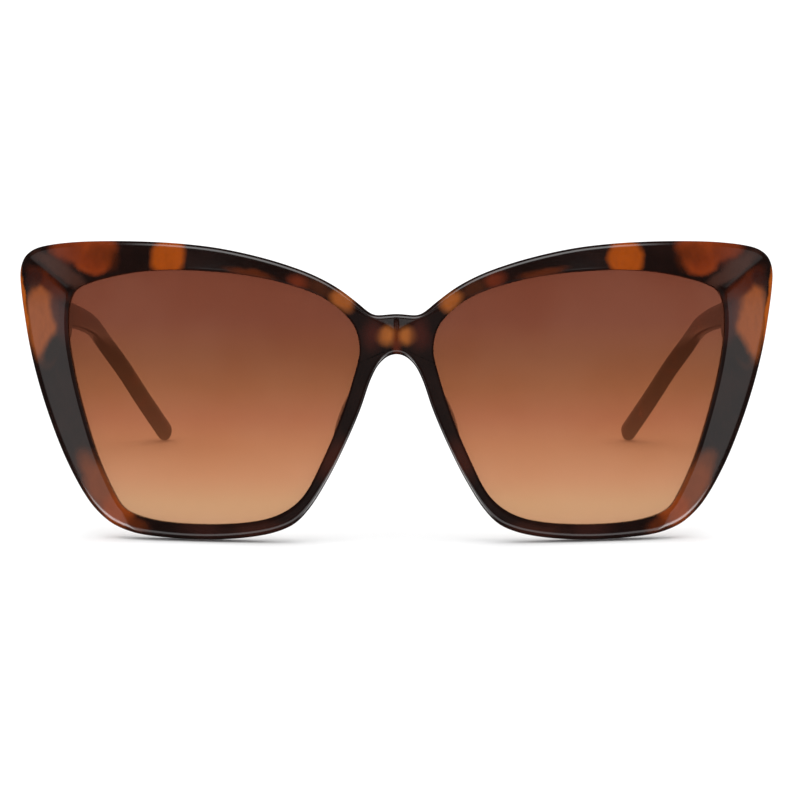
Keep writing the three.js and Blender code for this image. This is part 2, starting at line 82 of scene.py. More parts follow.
# Outline of the lens opening on the same side, from the temple side downwards.
LENS_OUTLINE = [
    [65.0, 12.7], [63.8, 4.0], [60.5, -8.5], [58.2, -15.0], [55.4, -20.9], [54.0, -23.0],
    [52.0, -24.3], [47.0, -25.7], [37.6, -26.4], [28.5, -25.9], [23.9, -24.8], [20.3, -22.8],
    [17.6, -19.9], [14.7, -14.3], [11.1, -5.9], [8.5, 2.0], [7.2, 7.8], [8.1, 12.1],
    [10.5, 15.2], [14.8, 18.3], [21.5, 20.8], [29.7, 22.6], [37.3, 23.4], [44.4, 23.7],
    [51.6, 23.3], [57.5, 22.2], [61.3, 21.1], [63.4, 20.0], [64.5, 18.2],
]
LENS_CENTRE = np.array([38.0, -1.0])
LENS_TOP, LENS_BOTTOM = 23.7, -26.4

COLUMNS = 640                   # steps round half of the front
BRIDGE_COLUMNS = 24             # steps down the middle of the bridge
OPENING_SAMPLES = 1600          # points round a lens opening that the columns are read from
FAIRING = 0.8                   # mm of smoothing along an outline
SHARP_ANGLE = 32                # degrees; flatter edges are shaded smooth

WRAP_RADIUS = 200.0
WRAP_START = 7.0
RIM_DEPTH = 4.2
SIDE_FACET_SLOPE = 0.33
BROW_FACET_SLOPE = 0.28
RIDGE_SOFTNESS = 0.26
FACET_EDGE_SOFTNESS = 0.10
BACK_FOLLOW = 0.7               # share of the facets that the back follows
BACK_ROUNDING = 0.5
BACK_SILL = 0.3
GROOVE_MIDDLE = 1.9
GROOVE_HALF_HEIGHT = 1.05
GROOVE_DEPTH = 0.8

# Width of the rounded outer edge where it faces up, sideways, down and into the nose arch.
EDGE_UP, EDGE_SIDE, EDGE_DOWN, EDGE_NOSE = 0.95, 1.3, 1.35, 0.9
EDGE_DEPTH_SHARE = 0.72
# Bevel round the opening on the brow, temple side, bottom and nose side: width, and slope against
# the face.
SILL_WIDTH = (0.35, 0.7, 0.8, 0.35)
SILL_SLOPE = (0.35, 0.50, 0.30, 0.35)

# Where the rows of the front lie, as shares of the sill and of the outer wall.
SILL_ROWS = (0, 0.06, 0.35, 0.65, 0.9, 0.97)
WALL_ROWS = (0.08, 0.5, 0.92)
FACE_ROWS, BACK_ROWS = 22, 14
EDGE_STEPS, BACK_STEPS, BACK_SILL_STEPS = 9, 6, 4

CREASE = {"depth": 0.12, "half_width": 0.22, "low": 9.3, "high": 14.3}

LENS_HALF_THICKNESS = 1.0
LENS_EDGE_GAP = 0.1
LENS_TONGUE = 0.65
LENS_TONGUE_HALF = 0.06
LENS_SIDES = 420
LENS_RINGS = (0.03, 0.1, 0.2, 0.3, 0.4, 0.5, 0.6, 0.7, 0.8, 0.88, 0.94, 0.98, 1.0)

END_PIECE_BACK = 18.2
END_PIECE_OUTLINE = [
    [65.45, 10.3], [65.45, 16.5], [66.2, 22.0], [69.5, 22.6], [73.4, 22.2], [74.3, 20.4],
    [73.7, 15.6], [72.6, 10.3], [69.5, 9.6],
]
END_PIECE_ROUNDING = 0.6
# Height above the back of the front, and how much taller the end piece is there.
END_PIECE_FLARE = [(-1.0, 0.16), (0, 0.15), (0.3, 0.085), (0.7, 0.035), (1.3, 0)]
END_PIECE_SIDES = 160
END_PIECE_FAIRING = 0.3

HINGE = np.array([67.0, END_PIECE_BACK + 1.3, 15.8])
LEAF_CLEARANCE = 0.1
FRONT_PLATE = ((-0.6, 6.0), (-2.55, -1.5), (-3.7, 3.7))
TEMPLE_PLATE = ((1.7, 2.75), (0.0, 9.3), (-2.2, 2.2))
FRONT_SCREWS = [(4.2, -2.1), (4.2, 2.1)]
TEMPLE_SCREWS = [2.9, 7.0]
SCREW_HOLE = [(0, -2.78), (0.53, -2.48), (0.53, -0.6), (1.08, -0.1), (1.08, 0.5), (0, 0.5)]

# Temple centre line: x, y, z, then the section's thickness and height there.
TEMPLE_LINE = [
    [70.4, 18.3, 15.8, 3.6, 8.0], [70.35, 24, 15.85, 3.6, 7.9], [70.2, 32, 15.95, 3.5, 7.2],
    [69.9, 44, 16.05, 3.4, 6.1], [69.4, 60, 16.0, 3.2, 5.2], [68.7, 78, 15.5, 3.1, 4.8],
    [68.1, 92, 14.7, 3.1, 4.5], [67.8, 99, 13.9, 3.1, 4.4], [67.4, 105, 12.7, 3.1, 4.4],
    [66.3, 112, 10.4, 3.1, 4.4], [63.4, 121, 5.5, 3.1, 4.4], [59.4, 134, -2.2, 3.2, 4.5],
    [55.4, 146.4, -9.5, 3.2, 4.5],
]
TEMPLE_STATIONS = 168
TEMPLE_SIDES = 56
TEMPLE_SQUARENESS = (3.4, 2.4)
TEMPLE_FRONT_ROUNDING = 0.4
TEMPLE_END_REACH = 2.07
CORE_CHANNEL = {"radius": 0.67, "start": 28.2, "end": 137.12, "stations": 40, "sides": 16}

PAD_CENTRE = (9.2, -5.0)
PAD_LEAN = 0.36
PAD_HALF = (1.45, 6.6)
PAD_DEPTH = 6.05
PAD_SPLAY = 0.22
PAD_GAP = 0.08
PAD_POWERS = (3.2, 2.2)         # how full the pad's profile is
PAD_SIDES = 72
PAD_STEPS = 26

CAMERA_PLACE = (0.0, -650.0, -1.365)
PICTURE_WIDTH = 154.635         # mm across the view at the bridge
SENSOR_WIDTH = 36
FLOOR_REACH = 20.0              # m
FLOOR_GAP = 0.0002              # m under the glasses

# ---- Axes ------------------------------------------------------------------------------------

hinge_joint = {joint["name"]: joint for joint in frame["joints"]}["left_temple_hinge"]
LEAN = math.atan2(hinge_joint["axis"][1], hinge_joint["axis"][2])
TURN = np.array(Matrix.Rotation(-LEAN, 3, "X"))
ORIGIN = np.array(hinge_joint["pos_m"]) - TURN @ HINGE * MM


def to_row(points):
    return np.asarray(points, float) @ TURN.T * MM + ORIGIN


# ---- Curves ----------------------------------------------------------------------------------

def hermite(p0, p1, p2, p3, steps):
    """Centripetal Catmull-Rom from p1 to p2, each an array of points; steps samples per span."""
    def root(a, b):
        return np.sqrt(np.linalg.norm((b - a)[:, :3], axis=1))[:, None]
    d0, d1, d2 = root(p0, p1), root(p1, p2), root(p2, p3)
    m1 = ((p1 - p0) / d0 - (p2 - p0) / (d0 + d1) + (p2 - p1) / d1) * d1
    m2 = ((p2 - p1) / d1 - (p3 - p1) / (d1 + d2) + (p3 - p2) / d2) * d1
    t = np.linspace(0, 1, steps, endpoint=False)[:, None, None]
    spans = ((2 * t**3 - 3 * t**2 + 1) * p1 + (t**3 - 2 * t**2 + t) * m1
             + (3 * t**2 - 2 * t**3) * p2 + (t**3 - t**2) * m2)
    return spans.transpose(1, 0, 2).reshape(-1, p1.shape[1])


def even_loop(points, count):
    """A closed polyline again, as count points evenly spaced from its first."""
    closed = np.vstack([points, points[:1]])
    length = np.concatenate([[0], np.cumsum(np.linalg.norm(np.diff(closed, axis=0), axis=1))])
    at = np.arange(count) * length[-1] / count
    return np.column_stack([np.interp(at, length, closed[:, k]) for k in range(points.shape[1])])


def fair(loop, sigma):
    """Smooths an evenly spaced loop over sigma mm, without pulling its corners in."""
    step = np.linalg.norm(loop[1] - loop[0])
    wave = np.fft.rfftfreq(len(loop), step) * 2 * math.pi
    keep = np.exp(-0.5 * (sigma * wave) ** 2)
    keep = 2 * keep - keep**2
    return np.fft.irfft(np.fft.rfft(loop, axis=0) * keep[:, None], len(loop), axis=0)


def closed_curve(points, steps):
    p = np.array(points, float)
    return hermite(np.roll(p, 1, 0), p, np.roll(p, -1, 0), np.roll(p, -2, 0), steps)


def smooth_loop(points, count):
    return fair(even_loop(closed_curve(points, 60), count), FAIRING)


def inward(loop):
    """Unit normals into a loop that runs clockwise, seen from in front."""
    along = np.roll(loop, -1, 0) - np.roll(loop, 1, 0)
    normal = np.column_stack([along[:, 1], -along[:, 0]])
    return normal / np.linalg.norm(normal, axis=1)[:, None]


def open_curve(points, steps):
    p = np.array(points, float)
    long = np.vstack([2 * p[:1] - p[1:2], p, 2 * p[-1:] - p[-2:-1]])
    return np.vstack([hermite(long[:-3], long[1:-2], long[2:-1], long[3:], steps), p[-1:]])


# ---- Surfaces of the front -------------------------------------------------------------------

def wrap(x, z):
    out = np.maximum(np.abs(x) - WRAP_START, 0)
    return (out**2 + z**2) / (2 * WRAP_RADIUS)


def parabola(a, b, c):
    ab = (b[1] - a[1]) / (b[0] - a[0])
    bc = (c[1] - b[1]) / (c[0] - b[0])
    curve = (bc - ab) / (c[0] - a[0])
    return lambda u: a[1] + ab * (u - a[0]) + curve * (u - a[0]) * (u - b[0])


lens_side = parabola((-20.9, 55.4), (-2.0, 62.4), (12.7, 65.0))
lens_brow = parabola((21.5, 20.8), (44.4, 23.7), (61.3, 21.1))


def soft_max(a, b, width):
    return np.maximum(a, b) + np.maximum(width - np.abs(a - b), 0) ** 2 / (4 * width)


def facet(x, z):
    out = np.abs(x)
    side = SIDE_FACET_SLOPE * (out - lens_side(z))
    brow = BROW_FACET_SLOPE * (z - lens_brow(out))
    return soft_max(soft_max(side, brow, RIDGE_SOFTNESS), 0, FACET_EDGE_SOFTNESS)


def crease(x, z):
    low, high = CREASE["low"], CREASE["high"]
    inside = np.clip(np.minimum(z - low, high - z), 0, 1)
    return CREASE["depth"] * inside * np.exp(-(x / CREASE["half_width"]) ** 2)


def front_face(x, z):
    return wrap(x, z) + facet(x, z) + crease(x, z)


def back_face(x, z):
    return wrap(x, z) + RIM_DEPTH + BACK_FOLLOW * facet(x, z)


def row_of(plan, depth):
    """3-D points from plan points [x, z] and their depths y."""
    return np.column_stack([plan[:, 0], depth, plan[:, 1]])


# ---- Meshes ----------------------------------------------------------------------------------

def mesh_object(name, points, faces):
    mesh = bpy.data.meshes.new(name)
    mesh.from_pydata(to_row(points).tolist(), [], faces)
    made = bpy.data.objects.new(name, mesh)
    bpy.context.scene.collection.objects.link(made)
    return made


def clean(made, weld=1e-7):
    """Welds doubles, drops empty faces and turns the faces outwards."""
    bm = bmesh.new()
    bm.from_mesh(made.data)
    bmesh.ops.remove_doubles(bm, verts=bm.verts, dist=weld)
    bmesh.ops.dissolve_degenerate(bm, dist=weld, edges=bm.edges)
    bmesh.ops.recalc_face_normals(bm, faces=bm.faces)
    bm.to_mesh(made.data)
    bm.free()
    return made


def grid_faces(rows, columns, closed_rows=False, closed_columns=True, skip=()):
    """Quads between rows of points; skip holds (row, column) pairs that are left open."""
    faces = []
    for r in range(rows if closed_rows else rows - 1):
        under = (r + 1) % rows
        for c in range(columns if closed_columns else columns - 1):
            if (r, c) not in skip:
                after = (c + 1) % columns
                faces.append((r * columns + c, r * columns + after,
                              under * columns + after, under * columns + c))
    return faces


def loft(name, rings):
    """Closed body through rings of equally many points."""
    columns = len(rings[0])
    faces = grid_faces(len(rings), columns)
    last = (len(rings) - 1) * columns
    faces += [tuple(range(columns)), tuple(last + c for c in range(columns))]
    return clean(mesh_object(name, np.vstack(rings), faces))


def box(name, low, high):
    corners = [[(low, high)[(k >> axis) & 1][axis] for axis in range(3)] for k in range(8)]
    faces = [(0, 1, 3, 2), (4, 5, 7, 6), (0, 1, 5, 4), (2, 3, 7, 6), (0, 2, 6, 4), (1, 3, 7, 5)]
    return clean(mesh_object(name, np.array(corners), faces))


def spindle(name, profile, place, sides=32):
    """Body of revolution: profile holds (radius, height), and place maps its points."""
    angle = 2 * math.pi * np.arange(sides) / sides
    rings = []
    for radius, height in profile:
        reach = max(radius, 1e-4)
        rings.append(place(np.column_stack([
            reach * np.cos(angle), reach * np.sin(angle), np.full(sides, height)])))
    return loft(name, rings)


def combine(made, other, operation):
    """Boolean of two objects; the second is used up."""
    modifier = made.modifiers.new(operation, "BOOLEAN")
    modifier.operation, modifier.object, modifier.solver = operation, other, "EXACT"
    bpy.context.view_layer.update()
    result = bpy.data.meshes.new_from_object(
        made.evaluated_get(bpy.context.evaluated_depsgraph_get()))
    made.modifiers.clear()
    made.data = result
    bpy.data.objects.remove(other)
    return made


def flatten_below_floor(made):
    for vertex in made.data.vertices:
        vertex.co.z = max(vertex.co.z, 0.0)


def dress(made, body, surface, replaced):
    """Last steps for a piece: shading, material, and what it stands for and rides on."""
    made.data.shade_smooth()
    made.data.set_sharp_from_angle(angle=math.radians(SHARP_ANGLE))
    made.data.materials.clear()
    made.data.materials.append(surface)
    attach(made, body)
    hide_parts(*replaced)
    return made


def mirrored(made, name):
    """The same piece on the other side of X = 0."""
    copy = made.copy()
    copy.data = made.data.copy()
    copy.name = copy.data.name = name
    bpy.context.scene.collection.objects.link(copy)
    copy.data.transform(Matrix.Scale(-1, 4, (1, 0, 0)))
    copy.data.flip_normals()
    return copy


# ---- Front -----------------------------------------------------------------------------------

def blend_widths(normal, up, side, down, nose):
    """Width that depends on which way a unit normal in the plan points."""
    x, z = normal[:, 0], normal[:, 1]
    return (up * np.maximum(z, 0) ** 2 + down * np.maximum(-z, 0) ** 2
            + side * np.maximum(x, 0) ** 2 + nose * np.maximum(-x, 0) ** 2)


def outline_columns():
    other_side = [[-x, z] for x, z in FRONT_OUTLINE[-2:0:-1]]
    whole = smooth_loop(FRONT_OUTLINE + other_side, 2 * COLUMNS)
    normals = inward(whole)
    outer, into = whole[:COLUMNS + 1], normals[:COLUMNS + 1]
    outer[[0, -1], 0] = 0
    into[[0, -1], 0] = 0
    return outer, into


def opening_towards(targets):
    """Points of the opening, and normals into the rim, in the directions of the targets."""
    loop = smooth_loop(LENS_OUTLINE, OPENING_SAMPLES)
    away = -inward(loop)
    arm = loop - LENS_CENTRE
    angle = np.arctan2(arm[:, 1], arm[:, 0])
    order = np.argsort(angle)
    arm = targets - LENS_CENTRE
    wanted = np.arctan2(arm[:, 1], arm[:, 0])

    def at(values):
        return np.interp(wanted, angle[order], values[order], period=2 * math.pi)
    points = np.column_stack([at(loop[:, 0]), at(loop[:, 1])])
    normals = np.column_stack([at(away[:, 0]), at(away[:, 1])])
    return points, normals / np.linalg.norm(normals, axis=1)[:, None]


def quarter(steps):
    """Angles of a quarter turn."""
    return np.linspace(0, math.pi / 2, steps + 1)


def eased(count):
    """Shares from 0 to 1 that crowd at both ends."""
    return (1 - np.cos(np.linspace(0, math.pi, count))) / 2


def front_rows():
    """Rows of points round the section of the half front, and which rows make the outer edge."""
    outer, into = outline_columns()
    width = blend_widths(-into, EDGE_UP, EDGE_SIDE, EDGE_DOWN, EDGE_NOSE)[:, None]
    share = (np.arange(1, BRIDGE_COLUMNS) / BRIDGE_COLUMNS)[:, None]

    def with_middle(edge):
        return np.vstack([edge, edge[-1] + (edge[0] - edge[-1]) * share])
    inset = with_middle(outer + into * width)
    back_inset = with_middle(outer + into * BACK_ROUNDING)
    into = np.vstack([into, np.zeros((len(share), 2))])
    width = np.vstack([width, np.zeros((len(share), 1))])
    outer = with_middle(outer)
    opening, away = opening_towards(np.vstack([outer[:COLUMNS + 1], inset[COLUMNS + 1:]]))
    sill = blend_widths(away, *SILL_WIDTH)[:, None]
    fall = blend_widths(away, *SILL_SLOPE) * sill[:, 0]

    rows = []
    for u in SILL_ROWS:
        plan = opening + away * sill * u
        rows.append(row_of(plan, front_face(*plan.T) + fall * (1 - u)))
    for u in eased(FACE_ROWS):
        plan = (opening + away * sill) * (1 - u) + inset * u
        rows.append(row_of(plan, front_face(*plan.T)))
    edge_start = len(rows) - 1
    depth = width[:, 0] * EDGE_DEPTH_SHARE
    for a in quarter(EDGE_STEPS)[1:]:
        plan = inset - into * width * math.sin(a)
        rows.append(row_of(plan, front_face(*plan.T) + depth * (1 - math.cos(a))))
    wall_front = rows[-1][:, 1]
    wall_back = back_face(*outer.T) - BACK_ROUNDING
    for u in WALL_ROWS:
        rows.append(row_of(outer, wall_front * (1 - u) + wall_back * u))
    for a in quarter(BACK_STEPS)[:-1]:
        plan = outer + into * BACK_ROUNDING * (1 - math.cos(a))
        rows.append(row_of(plan, back_face(*plan.T) - BACK_ROUNDING * (1 - math.sin(a))))
    edge_end = len(rows)
    back_sill = opening + away * BACK_SILL
    for u in eased(BACK_ROWS):
        plan = back_inset * (1 - u) + back_sill * u
        rows.append(row_of(plan, back_face(*plan.T)))
    for a in quarter(BACK_SILL_STEPS)[1:]:
        plan = opening + away * BACK_SILL * (1 - math.sin(a))
        rows.append(row_of(plan, back_face(*plan.T) - BACK_SILL * (1 - math.cos(a))))
    middle = wrap(*opening.T) + GROOVE_MIDDLE
    rows.append(row_of(opening, middle + GROOVE_HALF_HEIGHT))
    root = opening + away * GROOVE_DEPTH
    rows.append(row_of(root, wrap(*root.T) + GROOVE_MIDDLE))
    rows.append(row_of(opening, middle - GROOVE_HALF_HEIGHT))
    return rows, range(edge_start, edge_end)


def front_shell():
    rows, edge = front_rows()
    columns = len(rows[0])
    skip = {(r, c) for r in edge for c in range(COLUMNS, columns)}
    faces = grid_faces(len(rows), columns, closed_rows=True, skip=skip)
    half = np.vstack(rows)
    other = half * (-1, 1, 1)
    count = len(half)
    flipped = [tuple(count + v for v in reversed(face)) for face in faces]
    shell = mesh_object("front_moulding", np.vstack([half, other]), faces + flipped)
    bm = bmesh.new()
    bm.from_mesh(shell.data)
    loose = [v for v in bm.verts if not v.link_faces]
    bmesh.ops.delete(bm, geom=loose, context="VERTS")
    bm.to_mesh(shell.data)
    bm.free()
    return clean(shell, 2e-6)


def end_piece():
    """Block behind the corner that carries the hinge, flared where it leaves the back."""
    fine = closed_curve(END_PIECE_OUTLINE, 40)
    outline = fair(even_loop(fine[::-1], END_PIECE_SIDES), END_PIECE_FAIRING)
    middle = np.mean(END_PIECE_OUTLINE, axis=0)
    into = inward(outline)
    if np.sum(into * (middle - outline)) < 0:
        into = -into
    root = back_face(*outline.T)
    top = END_PIECE_BACK - END_PIECE_ROUNDING
    rings = []
    for rise, flare in END_PIECE_FLARE:
        plan = outline.copy()
        plan[:, 1] = middle[1] + (plan[:, 1] - middle[1]) * (1 + flare)
        rings.append(row_of(plan, np.minimum(root + rise, top - 0.05 + 0.01 * len(rings))))
    for a in quarter(7):
        plan = outline + into * END_PIECE_ROUNDING * (1 - math.cos(a))
        height = END_PIECE_BACK - END_PIECE_ROUNDING * (1 - math.sin(a))
        rings.append(row_of(plan, np.full(len(plan), height)))
    return loft("end_piece", rings)


def at_hinge(point):
    return HINGE + np.array(point)


def front_screw_place(x, z):
    def place(points):
        turned = np.column_stack([points[:, 0], points[:, 2], -points[:, 1]])
        return turned + at_hinge((x, FRONT_PLATE[1][1], z))
    return place


def temple_screw_place(y):
    def place(points):
        turned = np.column_stack([-points[:, 2], points[:, 1], points[:, 0]])
        return turned + at_hinge((TEMPLE_PLATE[0][0], y, 0))
    return place


def make_front():
    front = front_shell()
    (x0, x1), (y0, _), (z0, z1) = FRONT_PLATE
    gap = LEAF_CLEARANCE
    for side in (LEFT, RIGHT):
        parts = [
            ("UNION", end_piece()),
            ("DIFFERENCE", box("pocket", at_hinge((x0 - gap, y0 - gap, z0 - gap)),
                               at_hinge((x1 + gap, 2, z1 + gap)))),
        ]
        parts += [("DIFFERENCE", spindle("hole", SCREW_HOLE, front_screw_place(x, z)))
                  for x, z in FRONT_SCREWS]
        for operation, part in parts:
            if side == RIGHT:
                part = swap_side(part)
            combine(front, part, operation)
    flatten_below_floor(front)
    return clean(front)


def swap_side(made):
    made.data.transform(Matrix.Scale(-1, 4, (1, 0, 0)))
    made.data.flip_normals()
    return made


# ---- Lenses ----------------------------------------------------------------------------------

def make_lens(name):
    loop = smooth_loop(LENS_OUTLINE, LENS_SIDES)
    into = inward(loop)
    face = loop + into * LENS_EDGE_GAP
    edge = loop - into * LENS_TONGUE

    def ring(plan, height):
        return row_of(plan, wrap(*plan.T) + GROOVE_MIDDLE + height)
    plans = [LENS_CENTRE + (face - LENS_CENTRE) * share for share in LENS_RINGS]
    rings = [ring(plan, -LENS_HALF_THICKNESS) for plan in plans]
    rings += [ring(edge, -LENS_TONGUE_HALF), ring(edge, LENS_TONGUE_HALF)]
    rings += [ring(plan, LENS_HALF_THICKNESS) for plan in plans[::-1]]
    return loft(name, rings)


# ---- Nose pads -------------------------------------------------------------------------------

def make_nose_pad(name):
    angle = 2 * math.pi * np.arange(PAD_SIDES) / PAD_SIDES
    rings = []
    for a in quarter(PAD_STEPS)[:-1]:
        depth = PAD_DEPTH * math.sin(a) ** 0.9
        share = (1 - (depth / PAD_DEPTH) ** PAD_POWERS[0]) ** (1 / PAD_POWERS[1])
        across = PAD_HALF[0] * share * np.cos(angle)
        along = PAD_HALF[1] * share * np.sin(angle)
        x = PAD_CENTRE[0] + across * math.cos(PAD_LEAN) - along * math.sin(PAD_LEAN)
        z = PAD_CENTRE[1] + across * math.sin(PAD_LEAN) + along * math.cos(PAD_LEAN)
        rings.append(np.column_stack([x + PAD_SPLAY * depth, back_face(x, z) + PAD_GAP + depth, z]))
    return loft(name, rings)


# ---- Temples ---------------------------------------------------------------------------------

def temple_line(steps):
    """Centre line with its tangents and section sizes."""
    line = open_curve([row[:3] for row in TEMPLE_LINE], steps)
    place = np.linspace(0, len(TEMPLE_LINE) - 1, len(line))
    sizes = np.column_stack([
        np.interp(place, np.arange(len(TEMPLE_LINE)), [row[k] for row in TEMPLE_LINE])
        for k in (3, 4)])
    kernel = np.hanning(2 * steps + 3)[1:-1]
    kernel /= kernel.sum()
    padded = np.pad(sizes, ((steps, steps), (0, 0)), mode="edge")
    sizes = np.column_stack([np.convolve(padded[:, k], kernel, "valid") for k in (0, 1)])
    return line, np.gradient(line, axis=0), sizes


def temple_ring(centre, along, size, squareness):
    along = along / np.linalg.norm(along)
    across = np.array([along[1], -along[0], 0])
    across /= np.linalg.norm(across)
    up = np.cross(across, along)
    angle = 2 * math.pi * (np.arange(TEMPLE_SIDES) + 0.5) / TEMPLE_SIDES
    c, s = np.cos(angle), np.sin(angle)
    reach = (np.abs(c) ** squareness + np.abs(s) ** squareness) ** (-1 / squareness)
    return (centre + np.outer(reach * c * size[0] / 2, across)
            + np.outer(reach * s * size[1] / 2, up))


def temple_bar(name):
    line, along, sizes = temple_line(TEMPLE_STATIONS // (len(TEMPLE_LINE) - 1))
    along[0] = (0, 1, 0)
    shares = np.linspace(0, 1, len(line))
    powers = TEMPLE_SQUARENESS[0] + np.diff(TEMPLE_SQUARENESS) * np.minimum(2 * shares, 1)
    rings = []
    for a in quarter(6)[:-1]:
        centre = line[0] + (0, TEMPLE_FRONT_ROUNDING * (1 - math.sin(a)), 0)
        size = sizes[0] - 2 * TEMPLE_FRONT_ROUNDING * (1 - math.cos(quarter(1)[1] - a))
        rings.append(temple_ring(centre, along[0], size, powers[0]))
    rings = rings[::-1]
    keep = line[:, 1] > line[0, 1] + TEMPLE_FRONT_ROUNDING * 1.05
    for centre, direction, size, power in zip(line[keep], along[keep], sizes[keep], powers[keep]):
        rings.append(temple_ring(centre, direction, size, power))
    end = along[-1] / np.linalg.norm(along[-1])
    for a in quarter(12)[1:-1]:
        centre = line[-1] + end * TEMPLE_END_REACH * math.sin(a)
        rings.append(temple_ring(centre, end, sizes[-1] * math.cos(a), powers[-1]))
    return loft(name, rings)


def core_channel():
    line, _, _ = temple_line(40)
    spot = np.linspace(CORE_CHANNEL["start"], CORE_CHANNEL["end"], CORE_CHANNEL["stations"])
    path = np.column_stack([np.interp(spot, line[:, 1], line[:, k]) for k in range(3)])
    along = np.gradient(path, axis=0)
    angle = 2 * math.pi * np.arange(CORE_CHANNEL["sides"]) / CORE_CHANNEL["sides"]
    rings = []
    for centre, direction in zip(path, along):
        across = np.array([direction[1], -direction[0], 0])
        across /= np.linalg.norm(across)
        up = np.cross(across, direction / np.linalg.norm(direction))
        rings.append(centre + CORE_CHANNEL["radius"]
                     * (np.outer(np.cos(angle), across) + np.outer(np.sin(angle), up)))
    return loft("channel", rings)


def make_temple(name):
    temple = temple_bar(name)
    (_, x1), (_, y1), (z0, z1) = TEMPLE_PLATE
    gap = LEAF_CLEARANCE
    combine(temple, box("pocket", at_hinge((-1, -0.35, z0 - gap)),
                        at_hinge((x1 + gap, y1 + 0.15, z1 + gap))), "DIFFERENCE")
    for y in TEMPLE_SCREWS:
        combine(temple, spindle("hole", SCREW_HOLE, temple_screw_place(y)), "DIFFERENCE")
    combine(temple, core_channel(), "DIFFERENCE")
    flatten_below_floor(temple)
    return clean(temple)


# ---- Metal parts -----------------------------------------------------------------------------

def softened(node, name, width=0.07, angle=25):
    """The CAD part again, with its edges broken."""
    copy = bpy.data.objects.new(name, frame["nodes"][node].data.copy())
    bpy.context.scene.collection.objects.link(copy)
    clean(copy, 2e-6)
    bm = bmesh.new()
    bm.from_mesh(copy.data)
    limit = math.radians(1)
    bmesh.ops.dissolve_limit(bm, angle_limit=limit, verts=bm.verts, edges=bm.edges)
    bm.to_mesh(copy.data)
    bm.free()
    bevel = copy.modifiers.new("bevel", "BEVEL")
    bevel.width, bevel.segments = width * MM, 2
    bevel.limit_method, bevel.angle_limit = "ANGLE", math.radians(angle)
    bevel.use_clamp_overlap = True
    bpy.context.view_layer.update()
    graph = bpy.context.evaluated_depsgraph_get()
    done = bpy.data.meshes.new_from_object(copy.evaluated_get(graph))
    copy.modifiers.clear()
    copy.data = done
    return clean(copy)


# ---- Materials -------------------------------------------------------------------------------

def srgb(code):
    """Linear colour from a display colour, 0xrrggbb."""
    parts = [((code >> shift) & 255) / 255 for shift in (16, 8, 0)]
    return [p / 12.92 if p <= 0.04045 else ((p + 0.055) / 1.055) ** 2.4 for p in parts] + [1.0]


class Nodes:
    """Short ways to write a node tree."""

    def __init__(self, name):
        self.material = bpy.data.materials.new(name)
        self.material.use_nodes = True
        self.tree = self.material.node_tree
        self.tree.nodes.clear()

    def add(self, kind, inputs=(), **settings):
        node = self.tree.nodes.new(kind)
        for key, value in settings.items():
            setattr(node, key, value)
        for key, value in dict(inputs).items():
            self.put(node.inputs[key], value)
        return node

    def put(self, socket, value):
        if isinstance(value, bpy.types.NodeSocket):
            self.tree.links.new(value, socket)
        else:
            socket.default_value = value

    def math(self, operation, *values, clamp=False):
        node = self.add("ShaderNodeMath", enumerate(values), operation=operation)
        node.use_clamp = clamp
        return node.outputs[0]

    def vector(self, operation, *values):
        node = self.add("ShaderNodeVectorMath", enumerate(values), operation=operation)
        return node.outputs["Value" if operation == "LENGTH" else "Vector"]

    def smooth(self, value, low, high, to=(0, 1)):
        node = self.add("ShaderNodeMapRange", {
            "Value": value, "From Min": low, "From Max": high, "To Min": to[0], "To Max": to[1],
        }, interpolation_type="SMOOTHSTEP")
        return node.outputs[0]

    def mix(self, share, a, b, blend="MIX"):
        node = self.add("ShaderNodeMix", data_type="RGBA", blend_type=blend)
        self.put(node.inputs[0], share)
        self.put(node.inputs[6], a)
        self.put(node.inputs[7], b)
        return node.outputs[2]

    def noise(self, vector, scale, detail=2.0, roughness=0.5, distortion=0.0, output=0):
        node = self.add("ShaderNodeTexNoise", {
            "Vector": vector, "Scale": scale, "Detail": detail, "Roughness": roughness,
            "Distortion": distortion})
        return node.outputs[output]

    def front_axes(self):
        """Object coordinates as millimetres in the front's axes."""
        coords = self.add("ShaderNodeTexCoord").outputs["Object"]
        start = -(TURN.T @ ORIGIN) / MM
        return self.add("ShaderNodeMapping", {
            "Vector": coords, "Location": start, "Rotation": (LEAN, 0, 0),
            "Scale": (1 / MM, 1 / MM, 1 / MM)}, vector_type="POINT").outputs[0]

    def finish(self, shader):
        output = self.add("ShaderNodeOutputMaterial")
        self.put(output.inputs["Surface"], shader)
        return self.material


